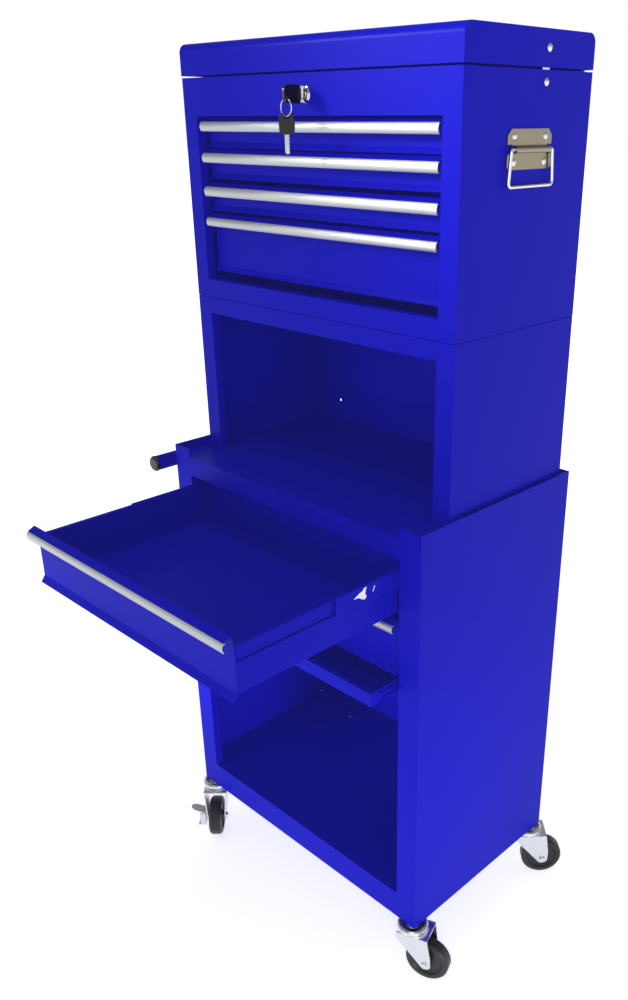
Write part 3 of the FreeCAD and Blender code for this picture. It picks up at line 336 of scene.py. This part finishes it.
def soften(piece, radius_mm):
    """Round the sharp edges of a piece by modifiers, which leave its mesh as it is."""
    piece.modifiers.new("drop_normals", "NODES").node_group = plain_normals
    weld = piece.modifiers.new("join_seams", "WELD")
    weld.merge_threshold = mm(SEAM_MM)
    merge = piece.modifiers.new("merge_flat_faces", "DECIMATE")
    merge.decimate_type = "DISSOLVE"
    merge.angle_limit = FLAT_ANGLE
    bevel = piece.modifiers.new("soft_edges", "BEVEL")
    bevel.width = mm(radius_mm)
    bevel.segments = BEVEL_STEPS
    bevel.limit_method = "ANGLE"
    bevel.angle_limit = FOLD_ANGLE
    bevel.use_clamp_overlap = True
    flat = piece.modifiers.new("flat_faces", "WEIGHTED_NORMAL")
    flat.mode = "FACE_AREA"
    flat.weight = LARGE_FACES_RULE


# The radius in millimetres for each slot. The hidden runners, the hinge, the stays and the
# thin wire of the bails stay as they are.
SOFT_RADIUS = {"blue_paint": 0.45, "zinc_bracket": 0.4, "anodised_rail": 0.2,
               "zinc_steel": 0.25, "nickel_handle": 0.2, "black_key_head": 0.6,
               "black_wheel": 0.4}
LEFT_SHARP = ("drawer_runners", "hinge", "lid_stay", "bail")
softened = 0
for subpart in frame["record"]["subparts"]:
    radius = SOFT_RADIUS.get(subpart["material_slot"])
    if radius and not subpart["node"].startswith(LEFT_SHARP):
        soften(nodes[subpart["node"]], radius)
        softened += 1
print("softened", softened, "pieces")

# %% [markdown]
# ## Small trim
# The frame leaves out pieces of a few millimetres. Each telescopic slide has a stamped
# catch on its middle channel, which is bare zinc and shows as a glint beside the open
# drawer. Each base drawer has two lanced tabs inside, cut from the wall and bent in, as
# for a divider. Two rivet heads catch the light in the lower bay. Each piece rides with
# the body that it is fastened to.
#
# The places are given in millimetres from the middle of the base's lower front edge: X to
# the right, Y to the back, Z up. The right side panel's box says where that edge is.

# %% Places and objects
HALF_BASE_W = 224.0
base_low, base_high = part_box("base_side_right")
BASE_FRONT_BOTTOM = Vector((base_high.x - mm(HALF_BASE_W), base_low.y, base_low.z))


def at(x, y, z):
    """A place in millimetres from the middle of the base's lower front edge."""
    return BASE_FRONT_BOTTOM + Vector((mm(x), mm(y), mm(z)))


def add_object(name, data):
    """A new object in the scene that shows this mesh, camera or light."""
    item = bpy.data.objects.new(name, data)
    bpy.context.scene.collection.objects.link(item)
    return item


print("the base's front edge is at", [round(c, 4) for c in BASE_FRONT_BOTTOM])

# %% Stamped plates


def plate(name, outlines, across, finish, body):
    """Flat plates in one object, from rings of corners. across is their thickness."""
    shape = bmesh.new()
    for outline in outlines:
        near = [shape.verts.new(corner) for corner in outline]
        far = [shape.verts.new(corner + across) for corner in outline]
        shape.faces.new(near)
        shape.faces.new(far[::-1])
        for i in range(len(near)):
            j = (i + 1) % len(near)
            shape.faces.new((near[i], far[i], far[j], near[j]))
    bmesh.ops.recalc_face_normals(shape, faces=shape.faces)
    mesh = bpy.data.meshes.new(name)
    shape.to_mesh(mesh)
    shape.free()
    piece = add_object(name, mesh)
    dress(piece, finish)
    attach(piece, body)


# Outlines of the catch and of its tip, on the upper slide: Y from the base's front edge and
# Z from the middle of the channel
CATCH = ((-70, 0.3), (-62.5, 4.0), (-57, 5.6), (-54, 8.6), (-50, 8.6), (-51.5, 5.8),
         (-52.5, 0.6), (-50.5, -2.6), (-53.4, -5.6), (-58, -3.6), (-62, -0.6))
CATCH_TIP = ((-41.6, -1.8), (-39.4, 0.6), (-37.0, 5.2), (-38.6, 5.6), (-40.4, 1.8))
CATCH_X, CATCH_T = 191.42, 0.2      # against the channel's outer face, 0.2 mm thick
# The upper drawer's tab leans in towards its foot
TAB_Y, TAB_Z = (-176.5, -167.0), (480.0, 488.4)
TAB_FOOT_X, TAB_TOP_X = 182.5, 185.9
TAB_SKIN = (0.5, -0.4)              # the tab's thickness, along X and Z
MIDDLE_Z = {"upper": 499.2, "lower": 423.2}
# The lower slide is stored further in than the upper one, and its drawer by twice as much
FURTHER_IN = {"upper": 0.0, "lower": 116.0}


def slide_catch(drawer, side, word):
    """The stamped catch and its tip on the outer face of one middle channel."""
    z0 = MIDDLE_Z[drawer]
    rings = [[at(side * CATCH_X, y + FURTHER_IN[drawer], z0 + z) for y, z in ring]
             for ring in (CATCH, CATCH_TIP)]
    plate("slide_catch_%s_%s" % (drawer, word), rings, Vector((side * mm(CATCH_T), 0, 0)),
          zinc, "slide_middle_" + drawer)


def drawer_tab(drawer, side, word):
    """One tab that leans in from the side wall of a base drawer."""
    drop = MIDDLE_Z[drawer] - MIDDLE_Z["upper"]
    y0, y1 = (y + 2 * FURTHER_IN[drawer] for y in TAB_Y)
    z0, z1 = (z + drop for z in TAB_Z)
    foot, top = side * TAB_FOOT_X, side * TAB_TOP_X
    ring = [at(foot, y0, z0), at(foot, y1, z0), at(top, y1, z1), at(top, y0, z1)]
    plate("drawer_tab_%s_%s" % (drawer, word), [ring],
          Vector((side * mm(TAB_SKIN[0]), 0, mm(TAB_SKIN[1]))),
          powder_coat, "base_drawer_" + drawer)


for drawer in MIDDLE_Z:
    for side, word in ((-1, "left"), (1, "right")):
        slide_catch(drawer, side, word)
        drawer_tab(drawer, side, word)
plates = [item.name for item in bpy.data.objects
          if item.name.startswith(("slide_catch_", "drawer_tab_"))]
print("catches and tabs:", len(plates))

# %% Rivet heads
RIVET_R = 1.7
RIVET_SPOTS = ((-222.0, 251.5, 43.0), (-132.3, 234.4, 40.0))
heads = bmesh.new()
for place in RIVET_SPOTS:
    bmesh.ops.create_uvsphere(heads, u_segments=20, v_segments=10, radius=mm(RIVET_R),
                              matrix=Matrix.Translation(at(*place)))
for face in heads.faces:
    face.smooth = True
head_mesh = bpy.data.meshes.new("bay_rivet_heads")
heads.to_mesh(head_mesh)
heads.free()
rivet_heads = add_object("bay_rivet_heads", head_mesh)
dress(rivet_heads, zinc)
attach(rivet_heads, "cabinet")
print("rivet heads:", len(RIVET_SPOTS))

# %% [markdown]
# ## Camera
# A photograph's camera can be worked out from the straight edges of a box whose shape is
# known. The values below put the cabinet where the photograph has it: the lens is given
# as a focal length in pixels, and the shift moves the picture's middle off the lens axis,
# as a crop does.

# %% Camera
IMAGE_W, IMAGE_H = 628, 1000
FOCAL_PX = 932.96
MIDDLE_PX = (380.39, 535.67)      # where the lens axis meets the picture
SENSOR_H_MM = 24.0
YAW, PITCH, ROLL = (math.radians(a) for a in (43.832, -24.055, 0.046))
EYE = at(817.0, -680.5, 963.7)

camera_data = bpy.data.cameras.new("camera")
camera = add_object("camera", camera_data)
camera_data.sensor_fit = "VERTICAL"
camera_data.sensor_height = SENSOR_H_MM
camera_data.lens = FOCAL_PX / IMAGE_H * SENSOR_H_MM
camera_data.shift_x = (IMAGE_W / 2 - MIDDLE_PX[0]) / IMAGE_H
camera_data.shift_y = (MIDDLE_PX[1] - IMAGE_H / 2) / IMAGE_H
turn = Matrix.Rotation(YAW, 4, "Z") @ Matrix.Rotation(math.radians(90) + PITCH, 4, "X")
camera.matrix_world = Matrix.Translation(EYE) @ turn @ Matrix.Rotation(-ROLL, 4, "Z")
bpy.context.scene.camera = camera
print("lens", round(camera_data.lens, 2), "mm, eye", [round(c, 3) for c in EYE])

# %% [markdown]
# ## Studio
# The photograph has a pure white surround without a horizon. So the floor glows, less
# under the cabinet and fully from about two metres out, and the sky is white where it
# meets the floor and grey overhead. The cabinet then stands in white without being washed
# out by it, and its recesses stay deep.

# %% Floor
WHITE = (1, 1, 1, 1)
FLOOR_HALF = 30.0
GLOW_NEAR, GLOW_FAR = 0.65, 1.0
GLOW_FROM, GLOW_TO = 0.9, 1.9     # metres from the middle, where the glow grows
floor_mesh = bpy.data.meshes.new("floor")
floor_mesh.from_pydata([(-FLOOR_HALF, -FLOOR_HALF, 0), (FLOOR_HALF, -FLOOR_HALF, 0),
                        (FLOOR_HALF, FLOOR_HALF, 0), (-FLOOR_HALF, FLOOR_HALF, 0)],
                       [], [(0, 1, 2, 3)])
floor = add_object("floor", floor_mesh)
floor_finish, floor_shader = new_finish("matt_white_floor", {
    "Base Color": paint("#FAFAFA"), "Roughness": 0.9, "Emission Color": WHITE})
floor_tree = floor_finish.node_tree
on_floor = add_node(floor_tree, "ShaderNodeTexCoord")
away = add_node(floor_tree, "ShaderNodeVectorMath", None, {0: on_floor.outputs["Object"]},
                operation="LENGTH")
glow = add_node(floor_tree, "ShaderNodeMapRange",
                {"From Min": GLOW_FROM, "From Max": GLOW_TO,
                 "To Min": GLOW_NEAR, "To Max": GLOW_FAR},
                {"Value": away.outputs["Value"]}, interpolation_type="SMOOTHSTEP")
floor_tree.links.new(glow.outputs["Result"], floor_shader.inputs["Emission Strength"])
dress(floor, floor_finish)
print("floor", 2 * FLOOR_HALF, "m across")

# %% Sky
SKY_WHITE, SKY_OVERHEAD = 1.0, 0.3
WHITE_BELOW, GREY_ABOVE = 0.13, 0.42    # sines of about 7.5 and 25 degrees
world = bpy.data.worlds.new("white_surround")
world.use_nodes = True
sky = world.node_tree
sky.nodes.clear()
way = add_node(sky, "ShaderNodeTexCoord")
axes = add_node(sky, "ShaderNodeSeparateXYZ", None, {"Vector": way.outputs["Generated"]})
shade = add_node(sky, "ShaderNodeMapRange",
                 {"From Min": WHITE_BELOW, "From Max": GREY_ABOVE,
                  "To Min": SKY_WHITE, "To Max": SKY_OVERHEAD},
                 {"Value": axes.outputs["Z"]}, interpolation_type="SMOOTHSTEP")
sky_glow = add_node(sky, "ShaderNodeBackground", {"Color": WHITE},
                    {"Strength": shade.outputs["Result"]})
add_node(sky, "ShaderNodeOutputWorld", None, {"Surface": sky_glow.outputs["Background"]})
bpy.context.scene.world = world
print("sky from", SKY_WHITE, "at the floor down to", SKY_OVERHEAD, "overhead")

# %% [markdown]
# The lights are those of a product studio. Two soft boxes overhead and one at the right
# front give the shapes their shading. Small spots with soft edges then lift the parts that
# the photograph shows brightest: the lid's front and the chest's right post, the open
# drawer's front, the base's left post, the plinth and the lower right side. Two more look
# into the open bays, so that their backs don't sink into the dark. Each spot fades out
# towards the edge of its cone.

# %% Lights
SPOT_RADIUS = 0.15      # metres: a wide source gives each shadow a soft edge
# Name, place, target, width in metres, power in watts
SOFT_BOXES = (
    ("overhead_box", (0, -1.12, 3.38), (0, 0, 0.6), 1.0, 9.0),
    ("zenith_box", (0, -0.05, 3.6), (0, 0, 0.6), 1.0, 9.0),
    ("right_box", (0.9, -1.0, 1.4), (0, 0, 1.0), 0.6, 3.1),
)
# Name, place, target, cone in degrees, power in watts
SOFT_SPOTS = (
    ("chest_spot", (-0.9, -0.9, 1.5), (0.2, -0.08, 1.05), 18, 155.0),
    ("lid_spot", (-0.9, -0.9, 1.5), (0.15, -0.12, 1.13), 14, 62.0),
    ("post_spot", (-0.6, -1.2, 1.3), (0.21, -0.1, 0.75), 18, 7.0),
    ("base_left_spot", (-0.5, -1.3, 0.3), (-0.21, -0.14, 0.35), 24, 90.0),
    ("base_side_spot", (1.6, -0.6, 0.3), (0.22, 0.0, 0.35), 30, 20.0),
    ("base_low_spot", (1.4, -0.6, 0.2), (0.22, 0.0, 0.2), 30, 40.0),
    ("bay_spot", (0.05, -1.3, 0.85), (-0.03, 0.15, 0.74), 12, 20.0),
    ("low_bay_spot", (0.1, -1.4, 0.42), (-0.04, 0.2, 0.24), 14, 14.0),
    ("plinth_spot", (0.0, -1.5, 0.25), (0.1, -0.14, 0.15), 20, 32.0),
    ("drawer_spot", (0.3, -1.6, 0.7), (0.15, -0.38, 0.5), 16, 23.0),
)


def new_light(name, kind, place, target, power):
    """A light at a place, turned to shine at a target. Returns its data."""
    data = bpy.data.lights.new(name, kind)
    data.energy = power
    light = add_object(name, data)
    light.location = place
    shine = Vector(target) - Vector(place)
    light.rotation_euler = shine.to_track_quat("-Z", "Y").to_euler()
    return data


for name, place, target, width, power in SOFT_BOXES:
    box = new_light(name, "AREA", place, target, power)
    box.size = width
for name, place, target, cone, power in SOFT_SPOTS:
    spot = new_light(name, "SPOT", place, target, power)
    spot.spot_size = math.radians(cone)
    spot.spot_blend = 1.0
    spot.shadow_soft_size = SPOT_RADIUS
bpy.context.scene.view_settings.view_transform = "Standard"
print("lights:", len(SOFT_BOXES) + len(SOFT_SPOTS))
